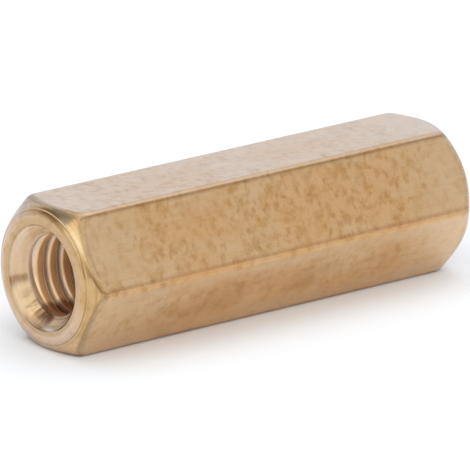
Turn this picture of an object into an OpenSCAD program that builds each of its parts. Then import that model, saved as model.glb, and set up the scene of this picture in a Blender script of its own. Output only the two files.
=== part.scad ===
// Hexagonal female to female standoff, turned from brass hexagon bar.
// The bar lies along X on one of its flats. The origin is under its middle, +Z is up.
// One tapped hole runs from end to end. It is drawn at its tap drill size, as a plain bore.

/* [Bar] */
// Distance across the flats of the bar
across_flats = 4.5; // [4:0.1:8]
// Length over both ends
bar_length = 15; // [8:0.5:40]
// Radius of the six long corners
corner_radius = 0.25; // [0.05:0.05:0.4]

/* [Thread] */
// Nominal diameter of the thread
thread_diameter = 3; // [2:0.5:3.5]
// Pitch of the thread
thread_pitch = 0.5; // [0.4:0.05:0.7]
// How much wider than the thread the countersink is at its mouth
sink_over_thread = 0.32; // [0.1:0.02:0.5]
// Included angle of the countersink
sink_angle = 90; // [60:5:120]

/* [Turned ends] */
// Width of the flat ring around the mouth
land_width = 0.255; // [0.1:0.005:0.4]
// Width of the shallow chamfer outside the flat ring
rim_width = 0.21; // [0.05:0.01:0.4]
// Angle between the shallow chamfer and the end plane
rim_angle = 27; // [15:1:35]
// Angle between the main chamfer and the end plane
chamfer_angle = 38.5; // [30:0.5:60]

/* [Hidden] */
$fn = 96;
brass = [0.78, 0.61, 0.40];

// The tap drill leaves the thread its full height less the rounded tips.
bore_diameter = thread_diameter - thread_pitch;
mouth_diameter = thread_diameter + sink_over_thread;
sink_depth = (mouth_diameter - bore_diameter) / 2 / tan(sink_angle / 2);

// Radii at which the end profile changes direction, and the depths there.
land_radius = mouth_diameter / 2 + land_width;
rim_radius = land_radius + rim_width;
rim_depth = rim_width * tan(rim_angle);

// The turning envelope ends clear of the bar's sharpest possible corner.
envelope_radius = across_flats / sqrt(3) + 0.5;
chamfer_depth = rim_depth + (envelope_radius - rim_radius) * tan(chamfer_angle);

// How far a cutting tool runs past the face that it cuts.
overrun = 0.5;

// How much larger the corner circles are drawn, so that they cross the flats
// cleanly at any size, where a true tangent could leave slivers.
corner_overlap = 0.0002;

// A hexagon with rounded corners: the flats end at twelve points, and a circle
// in each corner runs on from both flats beside it.
module bar_section() {
    circle_reach = (across_flats / 2 - corner_radius) / cos(30);
    polygon([for (corner = [0:5], side = [-1, 1])
        let (a = corner * 60, b = a + side * 30)
        [circle_reach * cos(a) + corner_radius * cos(b),
         circle_reach * sin(a) + corner_radius * sin(b)]]);
    for (corner = [0:5])
        rotate(corner * 60)
            translate([circle_reach, 0])
                circle(r = corner_radius + corner_overlap);
}

// What the lathe leaves of the ends: a flat ring, a shallow chamfer and the
// main chamfer, which cuts an arc into each flat. Turned about Z.
module turning_envelope() {
    half = bar_length / 2;
    rotate_extrude()
        polygon([
            [0, -half],
            [land_radius, -half],
            [rim_radius, rim_depth - half],
            [envelope_radius, chamfer_depth - half],
            [envelope_radius, half - chamfer_depth],
            [rim_radius, half - rim_depth],
            [land_radius, half],
            [0, half]
        ]);
}

// The countersink of the upper end, wide at its mouth.
module countersink() {
    slope = tan(sink_angle / 2);
    translate([0, 0, bar_length / 2 - sink_depth])
        cylinder(r1 = bore_diameter / 2,
                 r2 = bore_diameter / 2 + (sink_depth + overrun) * slope,
                 h = sink_depth + overrun);
}

module tapped_hole() {
    cylinder(d = bore_diameter, h = bar_length + 2 * overrun, center = true);
    countersink();
    mirror([0, 0, 1])
        countersink();
}

// The finished piece, turned from Z to lie along X with a flat underneath.
module standoff() {
    color(brass)
        translate([0, 0, across_flats / 2])
            rotate([0, 90, 0])
                difference() {
                    intersection() {
                        rotate(90)
                            linear_extrude(height = bar_length, center = true)
                                bar_section();
                        turning_envelope();
                    }
                    tapped_hole();
                }
}

standoff();
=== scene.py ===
"""The finished look of the hexagonal brass standoff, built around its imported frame.

The bar lies along X on one of its flats, and its axis runs half its height above the floor.
One closed mesh stands for the whole piece: six drawn flats with rounded corners, two turned
ends, and a tapped hole with its helical thread from end to end. Lengths are in millimetres
until a mesh or a place is written, which is in metres as the frame is.
"""

import bmesh
import bpy
import numpy as np
from mathutils import Matrix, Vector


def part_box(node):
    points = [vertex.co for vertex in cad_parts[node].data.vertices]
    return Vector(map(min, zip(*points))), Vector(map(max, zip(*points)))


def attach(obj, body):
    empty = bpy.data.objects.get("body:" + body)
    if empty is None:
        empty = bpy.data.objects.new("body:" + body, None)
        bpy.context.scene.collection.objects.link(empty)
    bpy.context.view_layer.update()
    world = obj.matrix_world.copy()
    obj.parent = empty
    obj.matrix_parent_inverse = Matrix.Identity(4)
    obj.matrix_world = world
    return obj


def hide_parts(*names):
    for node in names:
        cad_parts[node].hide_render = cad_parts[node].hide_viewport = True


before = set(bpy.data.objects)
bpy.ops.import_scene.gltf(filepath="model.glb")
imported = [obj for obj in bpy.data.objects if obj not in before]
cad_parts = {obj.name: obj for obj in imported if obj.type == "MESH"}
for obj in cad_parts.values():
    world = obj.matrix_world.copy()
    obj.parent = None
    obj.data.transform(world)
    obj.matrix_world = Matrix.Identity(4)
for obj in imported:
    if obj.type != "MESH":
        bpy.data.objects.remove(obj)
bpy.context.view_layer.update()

MM = 0.001

# --- Sizes of the piece -------------------------------------------------------------------

low_corner, high_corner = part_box("standoff")
across_flats = round((high_corner.z - low_corner.z) / MM, 2)
bar_length = round((high_corner.x - low_corner.x) / MM, 2)
half_length = bar_length / 2
axis_height = across_flats / 2
corner_radius = 0.25

# The thread's crests are the drilled bore, and its groove stops short of its full radius.
thread_radius = 1.5
thread_pitch = 0.5
bore_radius = thread_radius - thread_pitch / 2
groove_radius = thread_radius - 0.05
root_width = thread_pitch / 8
flank_angle = np.radians(30)
# Depths behind an end face: the near end's first crest, where the countersink steepens into
# the lead, and where the thread's groove starts and is fully cut.
first_crest_depth = 0.913
lead_depth = 0.11
lead_slope = np.tan(np.radians(38))
cut_start = 0.55
cut_full = 0.78

# A flat ring runs from the mouth to the land's edge, the shallow chamfer from there to the
# rim, and the main chamfer from the rim to the flats. The groove is cut just inside the rim.
mouth_radius = thread_radius + 0.16
rim_radius = across_flats / 2 - 0.125
land_radius = rim_radius - 0.21
near_slopes = np.tan(np.radians([27, 38.5]))
far_slopes = np.tan(np.radians([8, 43]))
rim_groove_width = 0.09
rim_groove_depth = 0.018

# The bore's rows and the end profile meet a little inside the countersink.
seam_depth = 0.06
# How far behind an end face its profile reaches along the flats.
profile_depth = 1.0
# Each corner of the profile is rounded over this many steps. At the brink, its last corner,
# the main chamfer meets the flats: the lathe's finish ends two steps into the rounding. Shade is
# painted on the rounding to dim its highlight: darkest in the middle, and less at the far end.
rounding_steps = 5
turned_brink_steps = 2
brink_painted_shade = (0.0, 0.7, 1.0, 1.0, 0.7, 0.0)
far_brink_share = 0.4

# --- Mesh helpers -------------------------------------------------------------------------


def soften(points, cuts, steps):
    """Rounds the inner corners of a polyline, given as corners x columns x 2 numbers.

    Each inner corner becomes steps + 1 points of a quadratic Bezier curve. It starts on the
    side before and ends on the side after, each at the cut length from the corner or at
    0.45 of the side if that is shorter, and the corner itself is its control point.
    """
    rows = [points[:1]]
    blend = np.linspace(0, 1, steps + 1)[:, None, None]
    for before, corner, after, cut in zip(points[:-2], points[1:-1], points[2:], cuts):
        back = before - corner
        onward = after - corner
        back = back * np.minimum(cut / np.linalg.norm(back, axis=-1), 0.45)[:, None]
        onward = onward * np.minimum(cut / np.linalg.norm(onward, axis=-1), 0.45)[:, None]
        rows.append(corner + (1 - blend) ** 2 * back + blend ** 2 * onward)
    rows.append(points[-1:])
    return np.concatenate(rows)


def grid_faces(rows, columns, first=0):
    """Quads of a grid of rows x columns points that are numbered row by row from first."""
    row, column = np.meshgrid(np.arange(rows - 1), np.arange(columns - 1), indexing="ij")
    corner = (first + row * columns + column).ravel()
    return np.stack([corner, corner + columns, corner + columns + 1, corner + 1], axis=1)


def around_axis(along, radius, angle):
    """Points in metres at a distance along the bar, and a radius and an angle around its axis."""
    across = radius * np.cos(angle)
    upward = axis_height + radius * np.sin(angle)
    return np.stack([along, across, upward], axis=-1).reshape(-1, 3) * MM


# --- The shape of the piece ---------------------------------------------------------------


def hexagon_outline(corner_steps, flat_steps):
    """Angle and radius of the outline's points around the axis, with the first one repeated.

    A sextant runs from the middle of one corner to the middle of the next. Seen square to
    its flat, the flat is a line at half the distance across flats, and each corner is a
    30 degree arc about a centre that lies corner_radius inside it.
    """
    flat_end = (across_flats / 2 - corner_radius) * np.tan(np.radians(30))
    turn = np.radians(np.linspace(30, 0, corner_steps + 1))[:-1]
    arc_side = flat_end + corner_radius * np.sin(turn)
    arc_out = across_flats / 2 - corner_radius + corner_radius * np.cos(turn)
    flat_side = np.linspace(flat_end, -flat_end, flat_steps + 1)
    flat_out = np.full_like(flat_side, across_flats / 2)
    side = np.concatenate([arc_side, flat_side, -arc_side[:0:-1]])
    out = np.concatenate([arc_out, flat_out, arc_out[:0:-1]])
    sextants = np.radians(60) * np.arange(6)[:, None]
    angles = (sextants + np.radians(30) - np.arctan2(side, out)).ravel()
    radii = np.tile(np.hypot(side, out), 6)
    return np.append(angles, 2 * np.pi), np.append(radii, radii[0])


def from_corner(radius, angle):
    """How far, in millimetres around the axis, a point is from the nearest corner's middle.

    The distance counts as negative on every other flat, so that a corner's two sides differ.
    """
    sixth = np.radians(60)
    near_corner = sixth * np.round(angle / sixth)
    side = np.where(np.floor(angle / sixth) % 2 == 0, 1.0, -1.0)
    return side * radius * np.abs(angle - near_corner)


def end_profile(outline_radius, slopes):
    """Depth behind the end face, and radius, from inside the mouth out to the flats.

    The corners are the mouth, the outside of the flat ring, the near side, bottom and far
    side of the fine groove that ends the shallow chamfer, and the brink, where the main
    chamfer's cone comes out through the bar's outline. The two slopes are depth over radius
    on the shallow chamfer and on the main one.
    """
    rim_slope, chamfer_slope = slopes
    rim_depth = (rim_radius - land_radius) * rim_slope
    chamfer_end = rim_depth + (outline_radius - rim_radius) * chamfer_slope
    groove_start = rim_radius - rim_groove_width
    groove_bottom = rim_radius - rim_groove_width / 2
    start_depth = (groove_start - land_radius) * rim_slope
    bottom_depth = (groove_bottom - land_radius) * rim_slope + rim_groove_depth
    places = (
        (seam_depth, mouth_radius - seam_depth),
        (0, mouth_radius),
        (0, land_radius),
        (start_depth, groove_start),
        (bottom_depth, groove_bottom),
        (rim_depth, rim_radius),
        (chamfer_end, outline_radius),
        (profile_depth, outline_radius),
    )
    level = np.zeros_like(outline_radius)
    corners = [np.stack([depth + level, radius + level], axis=-1) for depth, radius in places]
    cuts = (0.02, 0.07, 0.02, 0.02, 0.015, 0.2)
    return soften(np.stack(corners), cuts, rounding_steps)


def thread_profile():
    """Phase in one pitch, and radius, of the thread's section, from a crest's middle on.

    The crest is the drilled wall that the tap leaves. Flanks rise from it at 30 degrees to
    the radius, out to a root an eighth of a pitch wide.
    """
    flank = (groove_radius - bore_radius) * np.tan(flank_angle)
    crest_end = (thread_pitch - root_width) / 2 - flank
    root_start = crest_end + flank
    corners = np.array([
        [0, bore_radius],
        [crest_end, bore_radius],
        [root_start, groove_radius],
        [thread_pitch - root_start, groove_radius],
        [thread_pitch - crest_end, bore_radius],
        [thread_pitch, bore_radius],
    ])
    points = soften(corners[:, None, :], cuts=(0.06, 0.02, 0.02, 0.06), steps=4)[:-1, 0]
    return points[:, 0] / thread_pitch, points[:, 1]


def bore_grid(angles):
    """Distance along the bar, and radius, of rows that follow the thread's helix.

    A row lies at the first crest plus a pitch times its phase and the share of a turn at
    each column. Rows are held at the bore's two ends, where they fall together and merge.
    The thread deepens from nothing to its full depth along a smooth step. The radius is the
    thread's, or the wider one of a countersink's two cones where that is wider still. The
    last column is the first one a turn further on.
    """
    phase, section = thread_profile()
    first_crest = -half_length + first_crest_depth
    turns = np.arange(-3, int(bar_length / thread_pitch) + 2)
    phases = (turns[:, None] + phase).ravel()
    along = first_crest + thread_pitch * (phases[:, None] + angles / (2 * np.pi))
    bore_end = half_length - seam_depth
    along = np.clip(along, -bore_end, bore_end)
    depth = half_length - np.abs(along)
    cut = np.clip((depth - cut_start) / (cut_full - cut_start), 0, 1)
    cut = cut * cut * (3 - 2 * cut)
    thread = bore_radius + (np.tile(section, len(turns))[:, None] - bore_radius) * cut
    lead = mouth_radius - lead_depth - (depth - lead_depth) * lead_slope
    radius = np.maximum(thread, np.maximum(mouth_radius - depth, lead))
    return along, radius


def hold(mesh, name, values):
    """Stores a number at each of the mesh's points, under a name that materials can read."""
    mesh.attributes.new(name, "FLOAT", "POINT").data.foreach_set("value", values)


def build_standoff():
    """The whole piece as one closed mesh: the turned ends and flats, and the tapped bore.

    The outside is one grid, whose rows are the near end's profile and then the far end's,
    and the bore is another. Columns go round the axis in both.
    """
    angles, outline_radius = hexagon_outline(corner_steps=4, flat_steps=14)
    columns = len(angles)
    near = end_profile(outline_radius, near_slopes) + (-half_length, 0)
    far = end_profile(outline_radius, far_slopes)[::-1] * (-1, 1) + (half_length, 0)
    outside = np.concatenate([near, far])
    along, radius = outside[..., 0], outside[..., 1]
    bore_along, bore_radii = bore_grid(angles)
    points = np.concatenate([
        around_axis(along, radius, angles + 0 * along),
        around_axis(bore_along, bore_radii, angles + 0 * bore_along),
    ])
    outer_faces = grid_faces(len(outside), columns)
    bore_faces = grid_faces(len(bore_along), columns, first=along.size)
    faces = np.concatenate([outer_faces[:, ::-1], bore_faces])
    mesh = bpy.data.meshes.new("standoff_finished")
    mesh.from_pydata(points, [], faces.tolist())

    # The finishes are 0 for drawn, 1 for turned and 2 for tapped.
    brink_start = len(near) - 1 - len(brink_painted_shade)
    turned_rows = brink_start + turned_brink_steps
    face_row = np.arange(len(outer_faces)) // (columns - 1)
    drawn = (face_row >= turned_rows) & (face_row < len(outside) - turned_rows)
    finish = np.concatenate([np.where(drawn, 0, 1), np.full(len(bore_faces), 2)])
    mesh.polygons.foreach_set("material_index", finish.astype(np.int32))

    # The brink's painted shade on each row of the outside, for the materials to read.
    darkness = np.zeros(len(near))
    darkness[brink_start:-1] = brink_painted_shade
    darkness = np.concatenate([darkness, far_brink_share * darkness[::-1]])
    hold(mesh, "brink", np.append(darkness[:, None] + 0 * along, 0 * bore_along))
    hold(mesh, "from_corner", np.append(from_corner(radius, angles), 0 * bore_along))

    shape = bmesh.new()
    shape.from_mesh(mesh)
    bmesh.ops.remove_doubles(shape, verts=shape.verts, dist=1e-8)
    shape.to_mesh(mesh)
    shape.free()
    mesh.polygons.foreach_set("use_smooth", np.ones(len(mesh.polygons), bool))
    mesh.update()

    piece = bpy.data.objects.new("standoff_finished", mesh)
    bpy.context.scene.collection.objects.link(piece)
    # Wide faces rule the shading, so a flat looks flat up to its roundings.
    normals = piece.modifiers.new("even_normals", "WEIGHTED_NORMAL")
    normals.weight = 100
    return piece


# --- Materials ----------------------------------------------------------------------------


def add_node(tree, kind, inputs=None, **settings):
    """A new node with these settings. An input is a value, or a socket that is linked to it."""
    node = tree.nodes.new(kind)
    for name, value in settings.items():
        setattr(node, name, value)
    for name, value in (inputs or {}).items():
        if isinstance(value, bpy.types.NodeSocket):
            tree.links.new(value, node.inputs[name])
        else:
            node.inputs[name].default_value = value
    return node


def calculate(tree, operation, *numbers):
    """A sum, difference, absolute value or the like of the numbers."""
    inputs = dict(enumerate(numbers))
    return add_node(tree, "ShaderNodeMath", inputs, operation=operation).outputs[0]


def product(tree, first, *others):
    """The product of the numbers."""
    for other in others:
        first = calculate(tree, "MULTIPLY", first, other)
    return first


def rise(tree, value, low, high, bottom=0.0, top=1.0):
    """Goes smoothly from the bottom to the top as the value goes from low to high.

    Low may be the greater of the two. Past either of them the result stays the same.
    """
    inputs = {0: value, 1: low, 2: high, 3: bottom, 4: top}
    return add_node(tree, "ShaderNodeMapRange", inputs, interpolation_type="SMOOTHSTEP").outputs[0]


def band(tree, value, middle, reach, core=0.0, top=1.0):
    """A band about the middle: the top within its core, and fading to 0 at its reach."""
    beside = calculate(tree, "ABSOLUTE", calculate(tree, "SUBTRACT", value, middle))
    return rise(tree, beside, reach, core, 0.0, top)


def mix_colours(tree, share, first, second, blend="MIX"):
    """The first colour, blended with the second by a share from 0 to 1."""
    inputs = {0: share, 6: first, 7: second}
    mixer = add_node(tree, "ShaderNodeMix", inputs, data_type="RGBA", blend_type=blend)
    return mixer.outputs[2]


def stain(tree, share, colour, tint):
    """The colour, multiplied by a tint as far as a share from 0 to 1 says."""
    return mix_colours(tree, share, colour, tint, blend="MULTIPLY")


def attribute(tree, name):
    """A number that the mesh holds at each of its points."""
    return add_node(tree, "ShaderNodeAttribute", attribute_name=name).outputs["Fac"]


def bar_millimetres(tree):
    """The place on the piece in millimetres, measured from the middle of the bar's axis."""
    place = add_node(tree, "ShaderNodeTexCoord").outputs["Object"]
    inputs = {"Vector": place, "Location": (0, 0, -axis_height), "Scale": (1 / MM, 1 / MM, 1 / MM)}
    return add_node(tree, "ShaderNodeMapping", inputs).outputs[0]


def grain(tree, place, per_mm, detail, roughness=0.5, shift=0.0):
    """Noise from 0 to 1 with this many grains a millimetre along X, Y and Z."""
    inputs = {"Vector": place, "Location": (shift, shift, shift), "Scale": per_mm}
    moved = add_node(tree, "ShaderNodeMapping", inputs).outputs[0]
    inputs = {"Vector": moved, "Scale": 1.0, "Detail": detail, "Roughness": roughness}
    return add_node(tree, "ShaderNodeTexNoise", inputs).outputs[0]


def around_bar(tree, place):
    """Where a place is around the axis: along the bar, out from the axis, and the way out."""
    across = add_node(tree, "ShaderNodeVectorMath", {0: place, 1: (0, 1, 1)}, operation="MULTIPLY")
    radius = add_node(tree, "ShaderNodeVectorMath", {0: across.outputs[0]}, operation="LENGTH")
    outward = add_node(tree, "ShaderNodeVectorMath", {0: across.outputs[0]}, operation="NORMALIZE")
    along = add_node(tree, "ShaderNodeSeparateXYZ", {0: place}).outputs[0]
    return along, radius.outputs["Value"], outward.outputs[0]


def toward(tree, vector, degrees):
    """How far a vector reaches in a direction around the axis, in degrees from +Y towards +Z."""
    turn = np.radians(degrees)
    inputs = {0: vector, 1: (0, np.cos(turn), np.sin(turn))}
    return add_node(tree, "ShaderNodeVectorMath", inputs, operation="DOT_PRODUCT").outputs["Value"]


def sector(tree, outward, middle, reach, core, top=1.0):
    """A sector around the axis: the top within its core of the middle, and 0 past its reach.

    The three are in degrees. It fades with the cosine of the angle from the middle.
    """
    low, high = np.cos(np.radians([reach, core]))
    return rise(tree, toward(tree, outward, middle), low, high, 0.0, top)


def turned_lines(tree, around, per_mm, arc_grain, detail, shift=0.0):
    """Noise in rings around the axis, which fade in and out along each ring.

    It is four-dimensional noise: along the bar, out from the axis, and the two parts of the
    way out from the axis, so it closes on itself after one turn.
    """
    along, radius, outward = around
    parts = add_node(tree, "ShaderNodeSeparateXYZ", {0: outward})
    inputs = {
        0: calculate(tree, "MULTIPLY", along, per_mm),
        1: calculate(tree, "MULTIPLY_ADD", radius, per_mm, shift),
        2: calculate(tree, "MULTIPLY", parts.outputs[1], arc_grain),
    }
    vector = add_node(tree, "ShaderNodeCombineXYZ", inputs).outputs[0]
    fourth = calculate(tree, "MULTIPLY", parts.outputs[2], arc_grain)
    inputs = {"Vector": vector, "W": fourth, "Scale": 1.0, "Detail": detail}
    return add_node(tree, "ShaderNodeTexNoise", inputs, noise_dimensions="4D").outputs[0]


def finish_shader(name):
    """A new material, its tree and its Principled shader: bare metal under a thin clear film."""
    material = bpy.data.materials.new(name)
    material.use_nodes = True
    shader = material.node_tree.nodes["Principled BSDF"]
    shader.inputs["Metallic"].default_value = 1.0
    shader.inputs["Coat Weight"].default_value = 0.3
    shader.inputs["Coat Roughness"].default_value = 0.15
    return material, material.node_tree, shader


def raise_surface(tree, shader, height, depth_mm):
    """Bump from a height that goes from 0 to 1, for this depth in millimetres."""
    bump = add_node(tree, "ShaderNodeBump", {"Height": height, "Distance": depth_mm * MM})
    tree.links.new(bump.outputs[0], shader.inputs["Normal"])


# The flat that was handled most is the one whose middle lies here around the axis, in degrees.
HANDLED_SIDE = 150

# Brass on the drawn flats, then on the turned ends, then inside.
HANDLED_BRASS = (0.71, 0.428, 0.192, 1)
PALE_BRASS = (0.72, 0.485, 0.27, 1)
LOWER_BRASS = (0.73, 0.515, 0.31, 1)
# The next two are pale wear, and in part painted highlights, along the corners.
BARE_AND_HIGHLIGHT_BRASS = (0.69, 0.49, 0.31, 1)
WORN_EDGE_HIGHLIGHT_BRASS = (0.71, 0.535, 0.37, 1)

MOUTH_BRASS = (0.57, 0.39, 0.225, 1)
RING_BRASS = (0.61, 0.42, 0.245, 1)
ROSE_RING_BRASS = (0.69, 0.49, 0.33, 1)
# A painted highlight inside the rim.
RING_HIGHLIGHT_BRASS = (0.77, 0.59, 0.45, 1)
CHAMFER_BRASS = (0.64, 0.41, 0.19, 1)
ROSE_CHAMFER_BRASS = (0.575, 0.42, 0.295, 1)
# A painted highlight on the chamfer.
PAINTED_HIGHLIGHT_BRASS = (0.80, 0.575, 0.325, 1)
# A painted reflection on the bottom of the chamfer.
PAINTED_REFLECTION_BRASS = (0.80, 0.54, 0.31, 1)

THREAD_BRASS = (1.0, 0.62, 0.30, 1)
FLANK_BRASS = (0.83, 0.65, 0.47, 1)
SUNK_BRASS = (0.66, 0.47, 0.30, 1)
LIP_BRASS = (0.88, 0.67, 0.46, 1)
CHALKY_BRASS = (0.66, 0.52, 0.38, 1)
CHALKY_RINGS = (0.44, 0.33, 0.21, 1)

# Tints that the brass is stained with, and tints of painted shade and dark reflections.
TARNISH = (0.82, 0.72, 0.52, 1)
FLECK = (0.74, 0.61, 0.38, 1)
OLIVE = (0.66, 0.58, 0.40, 1)
BROWNING = (0.86, 0.80, 0.70, 1)
# A dark reflection and shade, painted along the corners.
DARK_REFLECTION_LINE = (0.60, 0.50, 0.36, 1)
WARM_PAINTED_SHADE = (0.86, 0.79, 0.70, 1)
COOL_PAINTED_SHADE = (0.84, 0.83, 0.86, 1)
# Painted shade over the top of the flat ring.
RING_PAINTED_SHADE = (0.97, 0.93, 0.86, 1)
# Painted shade on the brink.
BRINK_PAINTED_SHADE = (0.66, 0.64, 0.62, 1)
# Oxide, and in part a painted dark reflection.
OXIDE_AND_DARK_REFLECTION = (0.58, 0.68, 0.82, 1)
# Dark reflections painted across the bottom of the countersink.
STREAKED_DARK_REFLECTION = (0.45, 0.36, 0.30, 1)
DARK_REFLECTION_SPOT = (0.48, 0.39, 0.30, 1)
# Painted shadow at the bottom of the bore.
PAINTED_BORE_SHADOW = (0.30, 0.20, 0.15, 1)


def drawn_brass():
    """Flats as they came through the die: fine lines along the bar, and mottled with handling.

    The colour is deepest in the middle of the bar's length. Brown clouds lie on the lower
    flats, and blotches and flecks all round, most of all on the flat that was handled most.
    Highlights, a dark reflection and shade are painted along the corners, and shade at the brink.
    """
    material, tree, shader = finish_shader("brass_drawn")
    place = bar_millimetres(tree)
    parts = add_node(tree, "ShaderNodeSeparateXYZ", {0: place})
    along = parts.outputs[0]
    height = parts.outputs[2]
    from_middle = calculate(tree, "ABSOLUTE", along)
    upper = rise(tree, height, 0.5, 1.8)

    clouds = grain(tree, place, (0.35, 0.6, 0.6), detail=3, roughness=0.6)
    middle = rise(tree, from_middle, half_length - 0.2, half_length - 4.0)
    tone = product(tree, middle, rise(tree, clouds, 0.25, 0.6))
    pale = mix_colours(tree, rise(tree, height, 0.0, -0.4), PALE_BRASS, LOWER_BRASS)
    colour = mix_colours(tree, tone, pale, HANDLED_BRASS)

    browned = grain(tree, place, (0.45, 0.9, 0.9), detail=3, roughness=0.6, shift=21)
    browned = product(
        tree,
        rise(tree, browned, 0.38, 0.62),
        rise(tree, height, 0.0, -1.0),
        rise(tree, from_middle, half_length - 2.1, half_length - 4.3),
    )
    colour = stain(tree, browned, colour, BROWNING)

    patches = grain(tree, place, (0.5, 0.8, 0.8), detail=2, shift=5)
    facing = toward(tree, place, HANDLED_SIDE)
    amount = product(
        tree,
        rise(tree, facing, 0.75 * axis_height, axis_height, 0.75, 1.0),
        rise(tree, patches, 0.3, 0.6, 0.45, 1.0),
        rise(tree, along, half_length - 0.2, half_length - 3.7, 0.5, 1.0),
    )
    mottle = grain(tree, place, (2.9, 2.3, 2.3), detail=3, roughness=0.62, shift=3)
    blotches = product(tree, rise(tree, mottle, 0.42, 0.72), amount)
    colour = stain(tree, blotches, colour, TARNISH)
    specks = grain(tree, place, (4.6, 3.6, 3.6), detail=1.5, roughness=0.5, shift=11)
    flecks = product(tree, rise(tree, specks, 0.48, 0.80, 0.0, 0.8), amount)
    colour = stain(tree, flecks, colour, FLECK)
    lines = grain(tree, place, (0.45, 16, 16), detail=4, roughness=0.6, shift=7)
    colour = stain(tree, rise(tree, lines, 0.42, 0.72, 0.0, 0.3), colour, TARNISH)

    # On one side of a corner, where its rounding meets the flat, a thin brown line is painted as a
    # dark reflection, in a wider band of painted shade that dims the corner's highlight. The line
    # shows more on the upper corners.
    corner = attribute(tree, "from_corner")
    worn = rise(tree, grain(tree, place, (1.2, 1.2, 1.2), detail=3, shift=9), 0.3, 0.6, 0.5, 1.0)
    strength = rise(tree, upper, 0.0, 1.0, 0.25, 0.50)
    painted_line = product(tree, band(tree, corner, 0.10, reach=0.055), worn, strength)
    colour = stain(tree, painted_line, colour, DARK_REFLECTION_LINE)
    overlay = mix_colours(tree, upper, WARM_PAINTED_SHADE, COOL_PAINTED_SHADE)
    colour = stain(tree, band(tree, corner, 0.05, reach=0.16, core=0.05), colour, overlay)

    # The upper corners are rubbed pale, and so are the flats beside the lower corners: both pale
    # marks are in part painted highlights. The brink, where the lathe's chamfer starts, is
    # darkened with painted shade.
    lighter_share = band(tree, corner, -0.02, reach=0.08, core=0.02, top=0.5)
    colour = mix_colours(tree, product(tree, lighter_share, upper), colour, WORN_EDGE_HIGHLIGHT_BRASS)
    colour = stain(tree, attribute(tree, "brink"), colour, BRINK_PAINTED_SHADE)
    bare_and_highlight = product(
        tree,
        rise(tree, corner, -0.08, -0.2),
        rise(tree, corner, -0.8, -0.2, 0.0, 0.5),
        calculate(tree, "SUBTRACT", 1.0, upper),
    )
    colour = mix_colours(tree, bare_and_highlight, colour, BARE_AND_HIGHLIGHT_BRASS)
    tree.links.new(colour, shader.inputs["Base Color"])

    # Handling has polished the corners smoother than the flats.
    polish = band(tree, corner, 0.0, reach=0.22, core=0.10, top=0.09)
    rough = calculate(tree, "MULTIPLY_ADD", lines, 0.12, 0.20)
    tree.links.new(calculate(tree, "SUBTRACT", rough, polish), shader.inputs["Roughness"])
    relief = calculate(tree, "MULTIPLY_ADD", mottle, 1.5, lines)
    raise_surface(tree, shader, relief, 0.0010)
    return material


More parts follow.
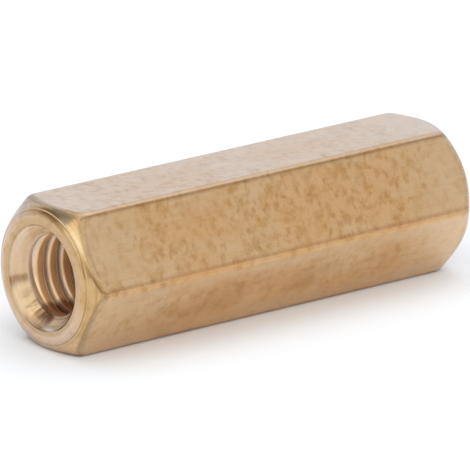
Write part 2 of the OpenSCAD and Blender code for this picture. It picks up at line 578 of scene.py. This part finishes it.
def turned_brass():
    """Ends as the lathe left them: a flat ring, two chamfers, and rings of tool marks.

    They are golden on the side that was handled most, and rose on the other side. Highlights, a
    reflection and shade are painted into the colour as well.
    """
    material, tree, shader = finish_shader("brass_turned")
    place = bar_millimetres(tree)
    around = around_bar(tree, place)
    radius, outward = around[1:]
    fine = turned_lines(tree, around, per_mm=20, arc_grain=1.2, detail=3)
    broad = turned_lines(tree, around, per_mm=5, arc_grain=0.9, detail=2, shift=3)
    past_mouth = rise(tree, radius, mouth_radius + 0.06, land_radius - 0.06)
    past_ring = rise(tree, radius, land_radius - 0.03, land_radius + 0.05)

    # Along the rim, between the handled side and the top, a highlight is painted on the golden
    # chamfer as lighter brass.
    painted_highlight = product(
        tree,
        sector(tree, outward, 127, reach=23, core=8),
        rise(tree, radius, rim_radius - 0.125, rim_radius - 0.025),
        rise(tree, radius, rim_radius + 0.155, rim_radius + 0.035),
    )
    golden_chamfer = mix_colours(tree, painted_highlight, CHAMFER_BRASS, PAINTED_HIGHLIGHT_BRASS)
    golden_side = mix_colours(tree, past_ring, RING_BRASS, golden_chamfer)
    rose_side = mix_colours(tree, past_ring, ROSE_RING_BRASS, ROSE_CHAMFER_BRASS)
    golden = sector(tree, outward, HANDLED_SIDE, reach=107.4, core=53.3)
    colour = mix_colours(tree, golden, rose_side, golden_side)
    colour = mix_colours(tree, past_mouth, MOUTH_BRASS, colour)

    # A faint, slightly yellow shade is painted over the upper half of the flat ring.
    before_chamfer = calculate(tree, "SUBTRACT", 1.0, past_ring)
    overlay = product(tree, sector(tree, outward, 104.5, reach=90, core=18.5), before_chamfer)
    colour = stain(tree, overlay, colour, RING_PAINTED_SHADE)

    # At the bottom, a brighter reflection is painted on the main chamfer as lighter brass, and a
    # highlight as bright brass on what lies inside the rim.
    past_rim = rise(tree, radius, rim_radius - 0.005, rim_radius + 0.075)
    lighter_share = product(tree, sector(tree, outward, 262, reach=50.2, core=20, top=0.9), past_rim)
    colour = mix_colours(tree, lighter_share, colour, PAINTED_REFLECTION_BRASS)
    ring_highlight = product(
        tree,
        sector(tree, outward, 240, reach=53.3, core=14.8, top=0.8),
        past_mouth,
        rise(tree, radius, rim_radius + 0.035, rim_radius - 0.045),
    )
    colour = mix_colours(tree, ring_highlight, colour, RING_HIGHLIGHT_BRASS)

    colour = stain(tree, rise(tree, fine, 0.45, 0.8, 0.0, 0.5), colour, TARNISH)
    colour = stain(tree, rise(tree, broad, 0.5, 0.8, 0.0, 0.6), colour, OLIVE)
    stains = grain(tree, place, (3.2, 3.2, 3.2), detail=3, roughness=0.65, shift=17)
    colour = stain(tree, rise(tree, stains, 0.44, 0.72, 0.0, 0.5), colour, FLECK)

    # A dull grey-green patch lies on the chamfer, a little in front of its top: oxide, and in part
    # a dark reflection painted in.
    oxide_and_reflection = product(
        tree,
        sector(tree, outward, 106.3, reach=15.2, core=7.3),
        rise(tree, broad, 0.25, 0.5),
        rise(tree, radius, rim_radius - 0.02, rim_radius + 0.06),
    )
    colour = stain(tree, oxide_and_reflection, colour, OXIDE_AND_DARK_REFLECTION)

    # Shade is painted into the fine groove inside the rim, in patches along it.
    groove = band(tree, radius, rim_radius - 0.06, reach=0.035)
    colour = stain(tree, product(tree, groove, rise(tree, broad, 0.3, 0.5)), colour, OLIVE)
    # Painted shade on the brink, where the chamfer meets the flats.
    colour = stain(tree, attribute(tree, "brink"), colour, BRINK_PAINTED_SHADE)
    tree.links.new(colour, shader.inputs["Base Color"])

    tree.links.new(rise(tree, fine, 0.2, 0.8, 0.10, 0.22), shader.inputs["Roughness"])
    raise_surface(tree, shader, calculate(tree, "ADD", fine, broad), 0.0015)
    return material


def tapped_brass():
    """The countersink and the thread: fresh brass with fine lines along the cut.

    The thread's crests are golden and its flanks paler. The countersink is smoother than the
    thread and dull over the top. Dark reflections are painted across its bottom, and a shadow in
    the first grooves below it.
    """
    material, tree, shader = finish_shader("brass_tapped")
    place = bar_millimetres(tree)
    around = around_bar(tree, place)
    along, radius, outward = around
    depth = calculate(tree, "SUBTRACT", half_length, calculate(tree, "ABSOLUTE", along))
    fine = turned_lines(tree, around, per_mm=16, arc_grain=1.2, detail=3, shift=5)
    broad = turned_lines(tree, around, per_mm=6, arc_grain=0.8, detail=2, shift=9)
    past_bore = rise(tree, radius, bore_radius - 0.01, bore_radius + 0.02)
    sunk = product(tree, past_bore, rise(tree, depth, 0.60, 0.50))
    flank = rise(tree, radius, bore_radius + 0.02, bore_radius + 0.06)
    dull = sector(tree, outward, 60, reach=75.6, core=4.7)

    thread = mix_colours(tree, flank, THREAD_BRASS, FLANK_BRASS)
    cone = mix_colours(tree, product(tree, dull, 0.75), SUNK_BRASS, LIP_BRASS)
    cone = mix_colours(tree, sunk, LIP_BRASS, cone)
    colour = mix_colours(tree, rise(tree, depth, 0.72, 0.60), thread, cone)
    worn = product(tree, rise(tree, broad, 0.35, 0.65, 0.0, 0.6), sunk)
    colour = stain(tree, worn, colour, TARNISH)

    # Short brown streaks across the bottom of the cone are painted dark reflections.
    streak_noise = turned_lines(tree, around, per_mm=1.2, arc_grain=8, detail=2, shift=13)
    reflection_streaks = product(
        tree,
        rise(tree, streak_noise, 0.45, 0.62),
        sector(tree, outward, 278.6, reach=60, core=18.4),
        rise(tree, radius, mouth_radius - 0.06, mouth_radius - 0.30),
        sunk,
    )
    colour = stain(tree, reflection_streaks, colour, STREAKED_DARK_REFLECTION)

    # Beside them, towards the handled side, the cone is chalky with fine rings. A dark spot is
    # painted in the middle of the streaks, as a dark reflection.
    chalky = product(tree, sector(tree, outward, 245, reach=27, core=15), sunk)
    ringed = mix_colours(tree, rise(tree, fine, 0.45, 0.60), CHALKY_BRASS, CHALKY_RINGS)
    colour = mix_colours(tree, chalky, colour, ringed)
    reflection_spot = product(
        tree,
        sector(tree, outward, 278, reach=18.2, core=8),
        rise(tree, radius, mouth_radius - 0.04, mouth_radius - 0.32),
        sunk,
    )
    colour = stain(tree, reflection_spot, colour, DARK_REFLECTION_SPOT)

    # A dark brown shadow is painted in the first grooves, at the bottom of the bore.
    bore_shadow = product(
        tree,
        sector(tree, outward, 270, reach=36.9, core=24.5),
        rise(tree, depth, 0.42, 0.55),
        rise(tree, depth, 2.6, 1.2),
    )
    colour = stain(tree, bore_shadow, colour, PAINTED_BORE_SHADOW)
    tree.links.new(colour, shader.inputs["Base Color"])

    # Dull and chalky places and the start of the thread scatter light, as a fine film does.
    first_turn = rise(tree, depth, 0.76, 0.64, 0.0, 0.5)
    first_turn = calculate(tree, "MAXIMUM", calculate(tree, "SUBTRACT", first_turn, sunk), 0.0)
    metal = rise(tree, flank, 0.0, 1.0, 0.42, 1.0)
    for overlay in (product(tree, dull, sunk, 0.6), product(tree, chalky, 0.6), first_turn):
        metal = calculate(tree, "SUBTRACT", metal, overlay)
    tree.links.new(metal, shader.inputs["Metallic"])

    rough = rise(tree, fine, 0.2, 0.8, 0.30, 0.40)
    rough = calculate(tree, "SUBTRACT", rough, product(tree, sunk, 0.18))
    tree.links.new(rough, shader.inputs["Roughness"])
    strength = rise(tree, sunk, 0.0, 1.0, 0.4, 1.0)
    relief = product(tree, calculate(tree, "ADD", fine, broad), strength)
    raise_surface(tree, shader, relief, 0.006)
    return material


# --- Studio -------------------------------------------------------------------------------


def build_floor():
    """A pale matt floor, wide enough to fill every view: a level square grid at height 0."""
    reach = 3.0
    points_a_side = 13
    side = np.linspace(-reach, reach, points_a_side)
    across, along = np.meshgrid(side, side)
    points = np.stack([across, along, np.zeros_like(across)], axis=-1).reshape(-1, 3)
    mesh = bpy.data.meshes.new("floor")
    faces = grid_faces(points_a_side, points_a_side)[:, ::-1]
    mesh.from_pydata(points, [], faces.tolist())
    floor = bpy.data.objects.new("floor", mesh)
    bpy.context.scene.collection.objects.link(floor)
    material = bpy.data.materials.new("pale_floor")
    material.use_nodes = True
    shader = material.node_tree.nodes["Principled BSDF"]
    shader.inputs["Base Color"].default_value = (0.93, 0.93, 0.93, 1)
    shader.inputs["Roughness"].default_value = 0.9
    shader.inputs["Specular IOR Level"].default_value = 0.0
    mesh.materials.append(material)


def build_camera():
    """A long lens that looks down at the near end, and turns a little about its own axis.

    Its distance, the width that it sees there and its aim beside the bar's middle are in
    millimetres.
    """
    azimuth = np.radians(-39.10)
    elevation = np.radians(17.80)
    roll = np.radians(0.77)
    distance = 326.0
    view_width = 14.262
    aim_right = 0.042
    aim_up = 0.068
    level = np.array([np.cos(azimuth), np.sin(azimuth), 0])
    ahead = np.array([-np.sin(azimuth), np.cos(azimuth), 0])
    upright = np.array([0, 0, 1])
    forward = np.cos(elevation) * ahead - np.sin(elevation) * upright
    lifted = np.sin(elevation) * ahead + np.cos(elevation) * upright
    right = np.cos(roll) * level + np.sin(roll) * lifted
    up = np.cos(roll) * lifted - np.sin(roll) * level
    centre = np.array([0, 0, axis_height])
    place = (centre - distance * forward - aim_right * right - aim_up * up) * MM
    data = bpy.data.cameras.new("camera")
    data.sensor_width = 36
    data.lens = data.sensor_width * distance / view_width
    data.clip_start = 0.01
    data.clip_end = 10
    camera = bpy.data.objects.new("camera", data)
    pose = np.eye(4)
    pose[:3, 0] = right
    pose[:3, 1] = up
    pose[:3, 2] = -forward
    pose[:3, 3] = place
    camera.matrix_world = Matrix(pose.tolist())
    bpy.context.scene.collection.objects.link(camera)
    bpy.context.scene.camera = camera


def build_world(tent, panels):
    """A pale tent of light all round, with brighter and darker panels hung in front of it.

    A panel is a window in azimuth and elevation, in degrees: where its middle is, how far it
    reaches to each side and up and down, how wide its soft edge is, and its colour. A later
    panel hangs in front of the ones before it.
    """
    world = bpy.data.worlds.new("studio")
    world.use_nodes = True
    tree = world.node_tree
    looking = add_node(tree, "ShaderNodeTexCoord").outputs["Generated"]
    parts = add_node(tree, "ShaderNodeSeparateXYZ", {0: looking})
    back = calculate(tree, "MULTIPLY", parts.outputs[1], -1.0)
    azimuth = calculate(tree, "DEGREES", calculate(tree, "ARCTAN2", parts.outputs[0], back))
    elevation = calculate(tree, "DEGREES", calculate(tree, "ARCSINE", parts.outputs[2]))
    light = (*tent, 1)
    for turn, height, half_width, half_height, edge, colour in panels:
        aside = calculate(tree, "WRAP", calculate(tree, "SUBTRACT", azimuth, turn), -180.0, 180.0)
        aside = calculate(tree, "ABSOLUTE", aside)
        above = calculate(tree, "ABSOLUTE", calculate(tree, "SUBTRACT", elevation, height))
        inside = product(
            tree,
            rise(tree, aside, half_width + edge, half_width - edge),
            rise(tree, above, half_height + edge, half_height - edge),
        )
        light = mix_colours(tree, inside, light, (*colour, 1))
    tree.links.new(light, tree.nodes["Background"].inputs["Color"])
    bpy.context.scene.world = world


# --- The scene ----------------------------------------------------------------------------

bpy.context.scene.view_settings.view_transform = "Standard"

standoff = build_standoff()
for make_finish in (drawn_brass, turned_brass, tapped_brass):
    standoff.data.materials.append(make_finish())
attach(standoff, "root")
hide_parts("standoff")

build_floor()
build_camera()
build_world((0.88, 0.92, 1.05), (
    # the backdrop behind the piece
    (138, 17, 60, 19, 6, (0.89, 1.03, 1.30)),
    # overhead
    (0, 90, 181, 36, 6, (1.46, 1.46, 1.42)),
    # a large panel behind the camera, and one beside it
    (-35, 38, 58, 22, 8, (1.30, 1.39, 1.45)),
    (-97, 32, 13, 12, 5, (1.35, 1.40, 1.45)),
    # a dark card behind the near end
    (-138, 30, 20, 13, 10, (0.24, 0.22, 0.18)),
    # the gap on the right of the large panel
    (48, 38, 14, 10, 6, (0.70, 0.70, 0.70)),
    # a gap under its left side
    (-48, 4, 21, 9, 6, (0.58, 0.50, 0.43)),
    # a warm low panel in front
    (-6, 11, 18, 11, 6, (1.12, 1.03, 0.85)),
))
